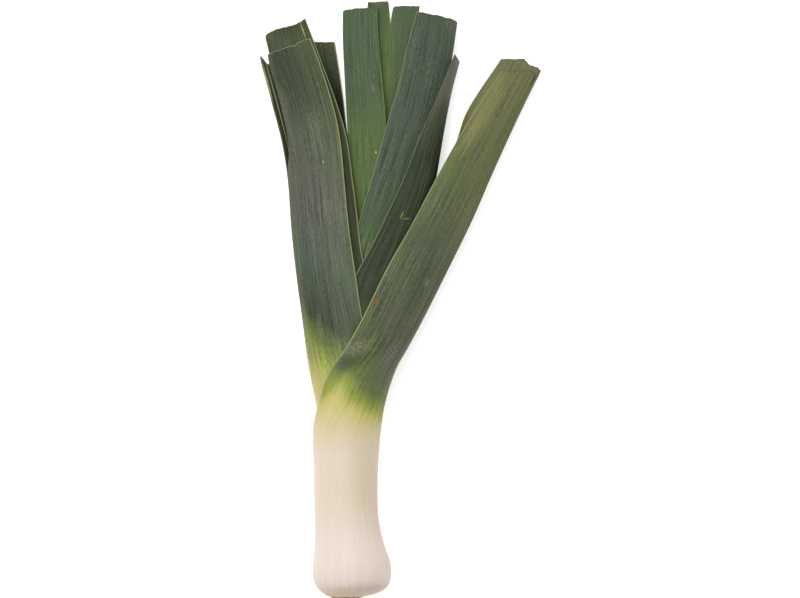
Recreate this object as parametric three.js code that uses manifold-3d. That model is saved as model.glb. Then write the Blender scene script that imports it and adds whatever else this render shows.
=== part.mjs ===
// A trimmed leek lying on its side: white bulb and shank, and a flat fan of green leaves.
// Millimetres, +Z up. The shank runs along +Y from the root end, the fan spreads in X.
// Seven leaves grow one inside the next from a root plate, folded to the right and to the left
// by turns. Low down each one is a closed tube; above its mouth the tube is open on the side
// opposite the keel, and the leaf flattens into a folded blade with an upper and a lower half.

import * as THREE from "three";
import { mergeVertices } from "three/addons/utils/BufferGeometryUtils.js";
import Module from "manifold-3d";

const wasm = await Module();
wasm.setup();

// ---- driving dimensions -------------------------------------------------------------------

const BULB_RADIUS = 23.8;
const SHEATH_TOP = 60;
const LEAF_RINGS = 6;
const HALF_COLUMNS = 9;
const BLADE_ROWS = 14;
const TUBE_ROW_SPACING = 20;
const OPENING_LENGTH = 30;
const SHARPEST_MM = 0.001;
const ROOT_STUBS = 15;
const ROOT_STUB_RADIUS = 0.7;

// ---- guide lines: a value along y, smooth through hand-set points ---------------------------

function guide(points) {
  const slopes = points.map((point, i) => {
    const before = points[Math.max(i - 1, 0)];
    const after = points[Math.min(i + 1, points.length - 1)];
    return (after[1] - before[1]) / (after[0] - before[0]);
  });
  return (y) => {
    const last = points.length - 1;
    if (y <= points[0][0]) return points[0][1];
    if (y >= points[last][0]) return points[last][1] + slopes[last] * (y - points[last][0]);
    const i = points.findIndex((point) => point[0] > y) - 1;
    const [y0, v0] = points[i];
    const [y1, v1] = points[i + 1];
    const t = (y - y0) / (y1 - y0);
    const rise = slopes[i] * t * (1 - t) ** 2 - slopes[i + 1] * t * t * (1 - t);
    return v0 * (1 + 2 * t) * (1 - t) ** 2 + v1 * t * t * (3 - 2 * t) + rise * (y1 - y0);
  };
}

// Straight lines between points.
function polyline(points, x) {
  const i = Math.max(1, points.findIndex((point) => point[0] >= x));
  const [x0, v0] = points[i - 1];
  const [x1, v1] = points[i];
  return v0 + ((v1 - v0) * (x - x0)) / (x1 - x0);
}

// The middle of the shank, seen from above and from the side.
const shankX = guide([
  [-2, -1.6], [1, -0.8], [3, 1.2], [6, 2.2], [17, 2.3], [24, 2.0], [34, 0.6], [46, -0.7],
  [60, -1.3], [80, -1.3], [95, -1.0], [119, 0.6], [149, 2.4], [179, 4.8], [209, 7.2],
  [239, 9.6], [282, 12],
]);
const shankZ = guide([
  [0, BULB_RADIUS], [95, 23.8], [120, 23.4], [149, 22.5], [168, 21.6], [184, 20.4],
  [200, 19.4], [230, 18.8], [290, 17], [358, 15],
]);

// The bulb: profile of the outermost skin, and of the solid heart it closes round.
const BULB_SKIN = [
  [1, 10.8], [2.4, 15], [4.8, 19.2], [7.8, 22], [11.5, 23.4], [16.8, BULB_RADIUS],
  [23, 23.1], [30, 21.5], [38, 20.2], [48, 19.35], [SHEATH_TOP, 19.1],
];
const BULB_HEART = [
  [14.5, 5], [15, 5.3], [16.5, 5.6], [18.5, 5.8], [21, 5.8], [25, 5.7],
  [30, 5.5], [35, 5.4], [42, 5.3], [50, 5.3], [SHEATH_TOP, 5.3],
];

// Radius of the heart, distance from one leaf to the next, the share of it that is leaf and
// not gap, and the thickness of a blade once it is clear of the shank.
const heartRadius = guide([
  [60, 5.3], [95, 5.6], [149, 4.6], [166, 4], [176, 3.1], [186, 2.4], [200, 1.9],
  [230, 1.8], [358, 1.8],
]);
const ringStep = guide([
  [60, 2.3], [80, 2.32], [95, 2.43], [120, 2.25], [149, 2], [168, 1.85], [200, 1.7],
  [358, 1.7],
]);
const leafShare = guide([[0, 0.86], [80, 0.86], [110, 0.82], [149, 0.74], [200, 0.7], [358, 0.7]]);
const bladeThickness = guide([[60, 2], [80, 2], [110, 1.85], [149, 1.48], [200, 1.2], [358, 1.15]]);
// How sharply the blade is folded at its keel: 0 is round.
const keelSharpness = guide([[120, 0], [150, 0.08], [200, 0.5], [240, 0.75], [358, 0.8]]);

// ---- the leaves ---------------------------------------------------------------------------
// ring 0 is outermost. side 1 folds to the right (+X), -1 to the left.
// mouth: y where the tube opens. tips: [position across the blade, y of the trimmed end], from
// -1 at the free edge of the upper half, through 0 at the keel, to 1 at the edge of the lower.
// sections: y, keel x, upper edge x, lower edge x, keel z, top z, bottom z.
// wraps, on the narrow leaf only: y and the angle that each half wraps round the shank.

const LEAVES = [
  {
    name: "leaf_1_outermost",
    ring: 0,
    side: 1,
    mouth: 94.8,
    colour: "#7f8c52",
    tips: [
      [-1, 316.8], [-0.5, 316.6], [-0.31, 315.6], [0, 314.6], [0.3, 318.8], [0.5, 320.4],
      [0.66, 323.8], [1, 324.4],
    ],
    sections: [
      [103.8, 20.2, -20.8, -20.6, 23.7, 43.8, 2.7],
      [112.8, 21.5, -18.8, -18.2, 23.5, 43.5, 2],
      [120.6, 23.3, -16.4, -15, 23.2, 43, 1.6],
      [129.6, 26, -13.7, -11.4, 22.9, 42.2, 1.1],
      [139.8, 30.1, -8.6, -6, 22.5, 40.8, 0.7],
      [149.4, 35.7, -1.8, 1.2, 22, 39.6, 0.4],
      [168, 45.6, 8.8, 10.8, 21, 37, 0.1],
      [198, 60.6, 23.5, 24.6, 18.6, 30.5, 0],
      [226.2, 74.4, 39.4, 40.2, 15.6, 25.8, 0],
      [250.8, 85.1, 52.3, 52.8, 13, 21.4, 0],
      [272.4, 94.8, 64.2, 64.2, 10.8, 17.8, 0],
      [292.8, 104.3, 76.5, 71.6, 9, 14.6, 0],
      [323.4, 119.4, 97.2, 91.5, 7, 11, 0],
    ],
  },
  {
    name: "leaf_2",
    ring: 1,
    side: -1,
    mouth: 106.8,
    colour: "#7b8a6c",
    tips: [
      [-1, 336], [-0.83, 333.9], [-0.73, 331.2], [-0.38, 327], [0, 325.6], [0.14, 324.2],
      [0.27, 320.6], [0.5, 322.5], [1, 328.8],
    ],
    sections: [
      [118.8, -19.7, 17.4, 17.1, 23.4, 40, 5.2],
      [130.8, -22.2, 16.2, 15.6, 23, 38.9, 4.4],
      [142.8, -24.3, 14.1, 13.2, 22.4, 37.9, 3.8],
      [154.8, -25.9, 11.4, 10.2, 21.5, 36.6, 3.2],
      [168.6, -27.7, 8.5, 7.2, 20.2, 34.9, 2.6],
      [195.6, -31.3, 4.4, 3, 17.8, 31.8, 1.5],
      [220.2, -34, 0.8, -0.6, 15.4, 28.4, 0.8],
      [250.8, -36.3, -2.2, -3.6, 12.6, 25.4, 0.3],
      [273, -39.8, -4.4, -6, 10.6, 22.4, 0],
      [292.8, -44.8, -8.2, -9.6, 9.2, 19.2, 0],
      [319.2, -51.9, -16.4, -18, 7.8, 15.8, 0],
      [336, -55.2, -22.8, -24, 7, 14, 0],
    ],
  },
  {
    name: "leaf_3",
    ring: 2,
    side: 1,
    mouth: 121.8,
    colour: "#6c705f",
    tips: [[-1, 326.4], [-0.5, 323.4], [0, 321.3], [0.5, 319.8], [1, 318]],
    sections: [
      [133.8, 18.6, -13.5, -13.2, 23, 36.9, 8],
      [148.8, 21.9, -11.4, -10.2, 22.4, 35.2, 6.8],
      [160.8, 25.5, -8.4, -7.2, 21.8, 33.9, 5.8],
      [175.8, 30.9, -3.3, -1.2, 20.8, 32.1, 5],
      [195.6, 37.5, 5.6, 6.6, 19.2, 29.8, 4],
      [211.8, 42.3, 14.3, 14.4, 18, 28.2, 3.6],
      [229.2, 47.7, 22.8, 21.6, 16.8, 27.4, 3.4],
      [250.8, 52.8, 33, 30.6, 14.6, 26.4, 3.4],
      [277.8, 57.4, 43.5, 39.6, 12, 25, 3.4],
      [304.8, 62.6, 55.2, 48, 10.6, 22.6, 3.4],
      [326.4, 68.4, 63.9, 52.8, 9.6, 20, 3.4],
    ],
  },
  {
    name: "leaf_4",
    ring: 3,
    side: -1,
    mouth: 136.8,
    colour: "#74865f",
    tips: [[-1, 348], [-0.8, 344.2], [-0.46, 341.4], [0, 336.8], [0.3, 335], [1, 334.2]],
    sections: [
      [148.8, -13.5, 14.7, 14.7, 22.3, 33.3, 9.6],
      [160.8, -16.5, 13.8, 13.8, 21.6, 32, 8.3],
      [175.8, -20.4, 12.3, 13.2, 20.2, 30.2, 6.9],
      [193.8, -24.3, 10.7, 12.6, 18.9, 28.3, 5.7],
      [210, -27.2, 7.8, 11.4, 17.6, 26.9, 5],
      [229.2, -29.4, 5.6, 9.6, 15.8, 25.4, 4.2],
      [250.8, -32.1, 2.8, 6.3, 13.8, 23, 3.2],
      [277.2, -36.3, -1, -0.1, 11.6, 19.6, 2.4],
      [300, -40.8, -7.8, -2.9, 10, 15.6, 2.2],
      [322.8, -46.5, -16.2, -6.2, 8.8, 12.8, 2.2],
      [346.8, -52.2, -25.2, -10.2, 7.8, 11.6, 2.2],
    ],
  },
  {
    name: "leaf_5",
    ring: 4,
    side: 1,
    mouth: 151.8,
    colour: "#80998a",
    tips: [[-1, 352], [-0.66, 349.8], [-0.27, 347.2], [0, 345.3], [0.5, 343.8], [1, 343.2]],
    sections: [
      [160.8, 12.6, -5.4, -5.1, 22, 30.5, 13.1],
      [172.8, 15.3, -3.9, -3.3, 21.2, 28.8, 12],
      [184.8, 18.9, -2.1, -1.2, 20.4, 27.4, 11.2],
      [208.8, 26.4, 2.4, 3.6, 19.2, 25.2, 10],
      [231, 35.4, 8.1, 9.6, 18.2, 24.4, 9.6],
      [253.8, 44.4, 14.7, 16.8, 17.2, 23.8, 9.4],
      [286.8, 55.2, 24, 26.4, 15.8, 22.8, 9],
      [312, 60.6, 31.2, 33.6, 14.8, 22.2, 8.6],
      [328.8, 63.3, 35, 37.2, 14.2, 21.6, 8.2],
      [351.6, 66.6, 41, 43.2, 13.4, 20.8, 8],
    ],
  },
  {
    name: "leaf_6",
    ring: 5,
    side: -1,
    mouth: 166.8,
    colour: "#83a26b",
    tips: [[-1, 354.6], [-0.6, 354], [0, 352.2], [0.5, 350.4], [1, 349.2]],
    wraps: [[178.8, 145], [190.8, 122], [214.8, 107], [229.8, 99], [250.8, 94], [282.6, 90]],
    sections: [
      [178.8, -1.2, 12.2, 12, 21.2, 26, 15.8],
      [190.8, 0.2, 13.8, 13.2, 20.4, 24.2, 14.9],
      [214.8, 1.8, 17.4, 16.2, 18.8, 22.6, 13.6],
      [229.8, 1.9, 19.2, 18, 18.1, 22.3, 13.2],
      [250.8, 1.2, 21.3, 19.8, 17.4, 21.8, 12.9],
      [282.6, -0.5, 22.8, 21, 16.4, 21, 12.5],
      [312, -2.1, 20.3, 18.6, 15.4, 20.3, 12],
      [336, -3.2, 18.2, 16.8, 14.6, 19.6, 11.4],
      [354.6, -3.2, 17.4, 16.2, 14, 19, 11],
    ],
  },
];

// The innermost leaf: a solid heart inside the other six, opening into a shallow trough.
const HEART_MOUTH = 184.8;
const HEART_TUBE_ROWS = [80, 100, 120, 140, 160, 175];
const HEART_TIPS = [[-1, 356.6], [-0.1, 358.2], [0.1, 353.5], [1, 354.6]];
const heartLeftX = guide([
  [HEART_MOUTH, 3], [214.8, 6], [250.8, 8.1], [282.6, 9.6], [312, 10.8], [354.6, 11.7],
]);
const heartRightX = guide([
  [HEART_MOUTH, 8.5], [214.8, 19.8], [250.8, 27], [282.6, 34.2], [312, 38.1], [354.6, 43],
]);
const heartFoldX = guide([
  [HEART_MOUTH, 5.5], [214.8, 12], [250.8, 17.7], [282.6, 21.9], [312, 24], [354.6, 25.8],
]);
const heartFoldZ = guide([
  [185, 19.2], [209, 16.2], [245, 15.2], [283, 14.9], [320, 14.4], [356, 13.8],
]);
const heartLeftZ = guide([
  [185, 20], [209, 17.8], [245, 17.2], [283, 16.6], [320, 16], [356, 15.4],
]);
const heartRightZ = guide([
  [185, 20], [209, 17.8], [245, 18], [283, 18.3], [320, 18], [356, 17.2],
]);

// A V-shaped tear in the end of the heart leaf.
const HEART_NOTCH = [[23.4, 362], [23.6, 357], [25.8, 345], [27, 354.3], [27.2, 362]];
// The upper half of leaf 2 is split from its keel near the end.
const KEEL_SPLIT = [
  [-37.5, 247], [-35.8, 249.5], [-36, 267], [-38.7, 286.2], [-43.2, 304.8], [-47.4, 318.6],
  [-48, 340], [-65, 340], [-65, 290],
];

// ---- points on a leaf -----------------------------------------------------------------------

// A point on a tube round the shank. across runs from -1, over the top, by 0 at the keel,
// and under the bottom to 1; -1 and 1 meet opposite the keel.
function tubePoint(side, radius, y, across) {
  const turn = Math.PI * Math.abs(across);
  const half = across <= 0 ? 1 : -1;
  const x = shankX(y) + side * radius * Math.cos(turn);
  return new THREE.Vector3(x, y, shankZ(y) + half * radius * Math.sin(turn));
}

function sheathRadius(ring, y) {
  return heartRadius(y) + ringStep(y) * (LEAF_RINGS - ring);
}

// Where ring number `ring` (a fraction is inside that leaf) passes row i of the bulb.
function bulbRow(i, ring) {
  return BULB_SKIN[i].map((value, k) => value + ((BULB_HEART[i][k] - value) * ring) / LEAF_RINGS);
}

// The guide lines of a leaf above its mouth, starting exactly where the tube ends.
function bladeGuides(leaf) {
  const radius = sheathRadius(leaf.ring, leaf.mouth);
  const x = shankX(leaf.mouth);
  const z = shankZ(leaf.mouth);
  const opposite = x - leaf.side * radius;
  const start = [leaf.mouth, x + leaf.side * radius, opposite, opposite, z, z + radius, z - radius];
  const rows = [start, ...leaf.sections];
  const column = (k) => guide(rows.map((row) => [row[0], row[k]]));
  return {
    keelX: column(1),
    edgeX: [column(2), column(3)],
    keelZ: column(4),
    limitZ: [column(5), column(6)],
    wrap: leaf.wraps && guide([[leaf.mouth, 180], ...leaf.wraps]),
  };
}

// The angle that each half of a blade wraps round the shank, never less than a right angle.
// Unless the leaf gives it, it is more for as long as its edge is past the middle of the shank.
function wrapAngle(guides, y) {
  const { clamp, degToRad } = THREE.MathUtils;
  if (guides.wrap) return degToRad(clamp(guides.wrap(y), 90, 180));
  const keelX = guides.keelX(y);
  const share = (guides.edgeX[0](y) - keelX) / (shankX(y) - keelX);
  return Math.acos(clamp(1 - share, -1, 0));
}

function bladePoint(leaf, guides, y, across, inner) {
  const { smoothstep } = THREE.MathUtils;
  const lower = across > 0 ? 1 : 0;
  const open = smoothstep(y, leaf.mouth, leaf.mouth + OPENING_LENGTH);
  const keelZ = guides.keelZ(y);
  let keelX = guides.keelX(y);
  let edgeX = guides.edgeX[lower](y);
  let height = Math.abs(guides.limitZ[lower](y) - keelZ);
  if (inner) {
    const inSheath = ringStep(y) * leafShare(y) * (1 - open);
    const inBlade = bladeThickness(y) * open;
    const taper = 1 - 0.4 * smoothstep(Math.abs(across), 0.5, 1);
    keelX -= leaf.side * (inSheath + inBlade);
    edgeX += leaf.side * inSheath * (1 - open);
    edgeX += leaf.side * inBlade * taper * (1 - open);
    height -= inSheath + inBlade * taper;
  }
  const wrap = wrapAngle(guides, y);
  const reach = (edgeX - keelX) / (1 - Math.cos(wrap));
  const turn = wrap * Math.abs(across);
  const x = keelX + reach * (1 - Math.cos(turn));
  const rise = height * Math.sin(turn) ** (1 + keelSharpness(y) * open);
  return new THREE.Vector3(x, y, keelZ + (lower ? -rise : rise));
}

function heartPoint(y, across, top) {
  const { smoothstep, lerp } = THREE.MathUtils;
  const side = top ? 1 : -1;
  const turn = (Math.PI * (1 + across)) / 2;
  const open = smoothstep(y, HEART_MOUTH, HEART_MOUTH + OPENING_LENGTH);
  const widen = smoothstep(y, HEART_MOUTH, HEART_MOUTH + 12);
  const radius = heartRadius(y);
  const left = lerp(shankX(y) - radius, heartLeftX(y), widen);
  const right = lerp(shankX(y) + radius, heartRightX(y), widen);
  const fold = lerp((left + right) / 2, heartFoldX(y), open);
  const reach = lerp(-Math.cos(turn), across, open);
  const x = fold + (reach > 0 ? right - fold : fold - left) * reach;
  const edgeZ = across < 0 ? heartLeftZ(y) : heartRightZ(y);
  const troughZ = lerp(heartFoldZ(y), edgeZ, Math.abs(across) ** 1.4);
  const thickness = top ? bladeThickness(y) * (1 - Math.abs(across) ** 3) : 0;
  const roundZ = shankZ(y) + side * radius * Math.sin(turn);
  return new THREE.Vector3(x, y, lerp(roundZ, troughZ + thickness, open));
}

// ---- surfaces -------------------------------------------------------------------------------

function steps(from, to, count) {
  return Array.from({ length: count + 1 }, (_, i) => from + ((to - from) * i) / count);
}

// Triangles between two rows of points.
function strip(a, b) {
  const triangles = [];
  for (let i = 0; i + 1 < a.length; i++) {
    triangles.push([a[i], a[i + 1], b[i + 1]], [a[i], b[i + 1], b[i]]);
  }
  return triangles;
}

// One closed surface from two sheets of rows. Both ends are closed; from row `openFrom` on,
// so are the two long edges.
function closedSurface(outer, inner, openFrom, mirrored) {
  let triangles = [...strip(inner[0], outer[0]), ...strip(outer.at(-1), inner.at(-1))];
  for (let j = 1; j < outer.length; j++) {
    triangles.push(...strip(outer[j - 1], outer[j]), ...strip(inner[j], inner[j - 1]));
  }
  const edge = (sheet, i) => sheet.slice(openFrom).map((row) => row.at(i));
  triangles.push(...strip(edge(outer, 0), edge(inner, 0)));
  triangles.push(...strip(edge(inner, -1), edge(outer, -1)));
  const apart = (p, q) => p.distanceTo(q) > SHARPEST_MM;
  triangles = triangles.filter(([p, q, r]) => apart(p, q) && apart(q, r) && apart(r, p));
  if (mirrored) triangles.forEach((triangle) => triangle.reverse());
  const surface = new THREE.BufferGeometry().setFromPoints(triangles.flat());
  return mergeVertices(surface, SHARPEST_MM);
}

function leafSurface(leaf) {
  const guides = bladeGuides(leaf);
  const across = steps(-1, 1, 2 * HALF_COLUMNS);
  const tubeRows = Math.max(1, Math.round((leaf.mouth - SHEATH_TOP) / TUBE_ROW_SPACING));
  const sheet = (inner) => {
    const ringAt = (y) => leaf.ring + (inner ? leafShare(y) : 0);
    const bulb = BULB_SKIN.map((_, i) => {
      const [y, radius] = bulbRow(i, ringAt(0));
      return across.map((u) => tubePoint(leaf.side, radius, y, u));
    });
    const tube = steps(SHEATH_TOP, leaf.mouth, tubeRows).slice(1).map((y) => {
      const radius = sheathRadius(ringAt(y), y);
      return across.map((u) => tubePoint(leaf.side, radius, y, u));
    });
    const blade = steps(0, 1, BLADE_ROWS).slice(1).map((step) => {
      const along = step ** 1.25;
      return across.map((u) => {
        const y = THREE.MathUtils.lerp(leaf.mouth, polyline(leaf.tips, u), along);
        return bladePoint(leaf, guides, y, u, inner);
      });
    });
    return [...bulb, ...tube, ...blade];
  };
  const mouthRow = BULB_SKIN.length + tubeRows - 1;
  return closedSurface(sheet(false), sheet(true), mouthRow, leaf.side < 0);
}

function heartSurface() {
  const across = steps(-1, 1, 2 * HALF_COLUMNS);
  const sheet = (top) => {
    const round = (y, radius) => across.map((u) => {
      const turn = (Math.PI * (1 + u)) / 2;
      const z = shankZ(y) + (top ? 1 : -1) * radius * Math.sin(turn);
      return new THREE.Vector3(shankX(y) - radius * Math.cos(turn), y, z);
    });
    const bulb = BULB_HEART.map(([y, radius]) => round(y, radius));
    const tube = HEART_TUBE_ROWS.map((y) => round(y, heartRadius(y)));
    const blade = steps(0, 1, BLADE_ROWS).map((step) => across.map((u) => {
      const y = THREE.MathUtils.lerp(HEART_MOUTH, polyline(HEART_TIPS, u), step ** 1.3);
      return heartPoint(y, u, top);
    }));
    return [...bulb, ...tube, ...blade];
  };
  const top = sheet(true);
  return closedSurface(top, sheet(false), top.length, false);
}

// ---- solids -----------------------------------------------------------------------------------

function solidOf(geometry) {
  const bare = geometry.clone();
  bare.deleteAttribute("normal");
  bare.deleteAttribute("uv");
  const merged = mergeVertices(bare, SHARPEST_MM);
  const vertProperties = merged.attributes.position.array;
  const triVerts = new Uint32Array(merged.index.array);
  return new wasm.Manifold(new wasm.Mesh({ numProp: 3, vertProperties, triVerts }));
}

function geometryOf(solid) {
  const { vertProperties, triVerts } = solid.getMesh();
  const geometry = new THREE.BufferGeometry();
  geometry.setAttribute("position", new THREE.BufferAttribute(vertProperties, 3));
  geometry.setIndex(new THREE.BufferAttribute(triVerts, 1));
  return geometry;
}

// An upright block over an outline in X and Y. Its floor follows floorZ along y.
function upright(outline, floorZ, height) {
  const shape = new THREE.Shape(outline.map(([x, y]) => new THREE.Vector2(x, y)));
  const block = new THREE.ExtrudeGeometry(shape, { depth: height, bevelEnabled: false });
  const position = block.attributes.position;
  for (let i = 0; i < position.count; i++) {
    position.setZ(i, position.getZ(i) + floorZ(position.getY(i)));
  }
  return block;
}

function cut(geometry, block) {
  return geometryOf(solidOf(geometry).subtract(solidOf(block)));
}

// The root plate: a cone inside the bulb, with the stubs of the roots left round its end.
function rootPlate() {
  const profile = [
    [0, -0.1], [6, -0.1], [9, 0.3], [10.1, 1], [10.2, 1.4], [9.45, 3.1], [8.5, 5.3],
    [7.5, 7.6], [6.5, 9.9], [5.6, 12.1], [4.7, 14.1], [0, 14.1],
  ];
  const cone = new THREE.LatheGeometry(profile.map(([r, y]) => new THREE.Vector2(r, y)), 20);
  let plate = solidOf(cone);
  for (let i = 0; i < ROOT_STUBS; i++) {
    const length = 2.4 + 0.9 * Math.sin(2.3 * i);
    const stub = new THREE.CylinderGeometry(ROOT_STUB_RADIUS, ROOT_STUB_RADIUS * 0.8, length, 6);
    const turn = 2.4 * i;
    const out = 1.2 + 6.6 * Math.sqrt(i / ROOT_STUBS);
    stub.rotateX(0.25 * Math.sin(turn));
    stub.rotateZ(0.25 * Math.cos(turn));
    stub.translate(out * Math.cos(turn), 0.1, out * Math.sin(turn));
    plate = plate.add(solidOf(stub));
  }
  const geometry = geometryOf(plate);
  const position = geometry.attributes.position;
  for (let i = 0; i < position.count; i++) {
    const y = position.getY(i);
    position.setX(i, position.getX(i) + shankX(y));
    position.setZ(i, position.getZ(i) + shankZ(y));
  }
  return geometry;
}

// ---- the leek -----------------------------------------------------------------------------------

const leek = new THREE.Group();

function addPiece(name, geometry, colour, roughness) {
  const faceted = geometry.toNonIndexed();
  faceted.computeVertexNormals();
  const material = new THREE.MeshStandardMaterial({ color: colour, roughness, metalness: 0 });
  const mesh = new THREE.Mesh(faceted, material);
  mesh.name = name;
  leek.add(mesh);
}

addPiece("root_plate", rootPlate(), "#c9ae8b", 0.8);

for (const leaf of LEAVES) {
  let surface = leafSurface(leaf);
  if (leaf.ring === 1) {
    surface = cut(surface, upright(KEEL_SPLIT, bladeGuides(leaf).keelZ, 30));
  }
  addPiece(leaf.name, surface, leaf.colour, 0.55);
}

const notch = upright(HEART_NOTCH, () => 5, 30);
addPiece("leaf_7_heart", cut(heartSurface(), notch), "#9fba7a", 0.55);

// Origin: under the middle of the leek, on the surface it lies on.
const size = new THREE.Box3().setFromObject(leek);
const middle = size.getCenter(new THREE.Vector3());
leek.position.set(-middle.x, -middle.y, -size.min.z);

export default leek;
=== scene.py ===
import math

import bpy
import numpy as np
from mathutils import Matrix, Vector


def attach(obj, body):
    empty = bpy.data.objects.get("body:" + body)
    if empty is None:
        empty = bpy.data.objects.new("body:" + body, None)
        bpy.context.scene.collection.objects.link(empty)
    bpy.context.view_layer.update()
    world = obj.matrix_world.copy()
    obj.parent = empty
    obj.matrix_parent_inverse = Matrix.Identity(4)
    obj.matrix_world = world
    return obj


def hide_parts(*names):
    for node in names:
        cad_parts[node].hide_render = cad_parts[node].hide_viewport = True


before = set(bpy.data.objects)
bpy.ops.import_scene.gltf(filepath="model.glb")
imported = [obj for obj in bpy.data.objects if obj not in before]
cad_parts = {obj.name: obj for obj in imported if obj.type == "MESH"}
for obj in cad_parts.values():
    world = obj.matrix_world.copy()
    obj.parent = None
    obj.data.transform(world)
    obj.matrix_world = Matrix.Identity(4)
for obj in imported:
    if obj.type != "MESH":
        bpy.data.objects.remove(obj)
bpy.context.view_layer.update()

bl_info = {
    "name": "Leek",
    "version": (1, 0, 0),
    "blender": (4, 5, 0),
    "location": "3D View > Sidebar > Leek",
    "description": "Models a trimmed leek leaf by leaf, with its waxy and fleshy finishes",
    "category": "Object",
}

# ---- the leek's shape: millimetres, root end at y 0, before it is set on its floor ----------

MM = 0.001
TO_FRAME = np.array([-31.051, -178.230, 0.007])
LEAF_RINGS = 6
SHEATH_TOP = 60.0
OPENING_LENGTH = 30.0
MAP_HALF_WIDTH = 36.0
LENGTH = 360.0
GREEN_FROM, GREEN_TO = 106.0, 136.0
BLADE_ROW_STEP = 2.0
CAMERA_PLACE = (0.00015, 0.00117, 4.822)


def guide(points):
    """A smooth line through given points: gives a value for each y."""
    ys, values = (np.array(column, float) for column in zip(*points))
    slopes = np.empty_like(values)
    slopes[1:-1] = (values[2:] - values[:-2]) / (ys[2:] - ys[:-2])
    slopes[0] = (values[1] - values[0]) / (ys[1] - ys[0])
    slopes[-1] = (values[-1] - values[-2]) / (ys[-1] - ys[-2])

    def value_at(y):
        y = np.asarray(y, float)
        i = np.clip(np.searchsorted(ys, y, "right") - 1, 0, len(ys) - 2)
        step = ys[i + 1] - ys[i]
        t = np.clip((y - ys[i]) / step, 0, 1)
        level = values[i] * (1 + 2 * t) * (1 - t) ** 2 + values[i + 1] * t * t * (3 - 2 * t)
        bend = step * (slopes[i] * t * (1 - t) ** 2 - slopes[i + 1] * t * t * (1 - t))
        return level + bend + slopes[-1] * np.maximum(y - ys[-1], 0)

    return value_at


def smoothstep(low, high, x):
    t = np.clip((x - low) / (high - low), 0, 1)
    return t * t * (3 - 2 * t)


shank_x = guide([
    (-2, -1.6), (1, -0.8), (3, 1.2), (6, 2.2), (17, 2.3), (24, 2.0), (34, 0.6), (46, -0.7),
    (60, -1.3), (80, -1.3), (95, -1.0), (119, 0.6), (149, 2.4), (179, 4.8), (209, 7.2),
    (239, 9.6), (282, 12),
])
shank_z = guide([
    (0, 23.8), (95, 23.8), (120, 23.4), (149, 22.5), (168, 21.6), (184, 20.4), (200, 19.4),
    (230, 18.8), (290, 17), (358, 15),
])
BULB_SKIN = [
    (1, 10.8), (2.4, 15), (4.8, 19.2), (7.8, 22), (11.5, 23.4), (16.8, 23.8), (23, 23.1),
    (30, 21.5), (38, 20.2), (48, 19.35), (60, 19.1),
]
BULB_HEART = [
    (14.5, 5), (15, 5.3), (16.5, 5.6), (18.5, 5.8), (21, 5.8), (25, 5.7), (30, 5.5),
    (35, 5.4), (42, 5.3), (50, 5.3), (60, 5.3),
]
BULB_STEPS = range(len(BULB_SKIN))
skin_y = guide([(i, BULB_SKIN[i][0]) for i in BULB_STEPS])
skin_radius = guide([(i, BULB_SKIN[i][1]) for i in BULB_STEPS])
heart_y = guide([(i, BULB_HEART[i][0]) for i in BULB_STEPS])
heart_bulb_radius = guide([(i, BULB_HEART[i][1]) for i in BULB_STEPS])
heart_radius = guide([
    (60, 5.3), (95, 5.6), (149, 4.6), (166, 4), (176, 3.1), (186, 2.4), (200, 1.9),
    (230, 1.8), (358, 1.8),
])
ring_step = guide([
    (60, 2.3), (80, 2.32), (95, 2.43), (120, 2.25), (149, 2), (168, 1.85), (200, 1.7),
    (358, 1.7),
])
leaf_share = guide([(0, 0.86), (80, 0.86), (110, 0.82), (149, 0.74), (200, 0.7), (358, 0.7)])
blade_thickness = guide([(60, 2), (80, 2), (110, 1.85), (149, 1.48), (200, 1.2), (358, 1.15)])
keel_sharpness = guide([(120, 0), (150, 0.08), (200, 0.5), (240, 0.75), (358, 0.8)])

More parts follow.
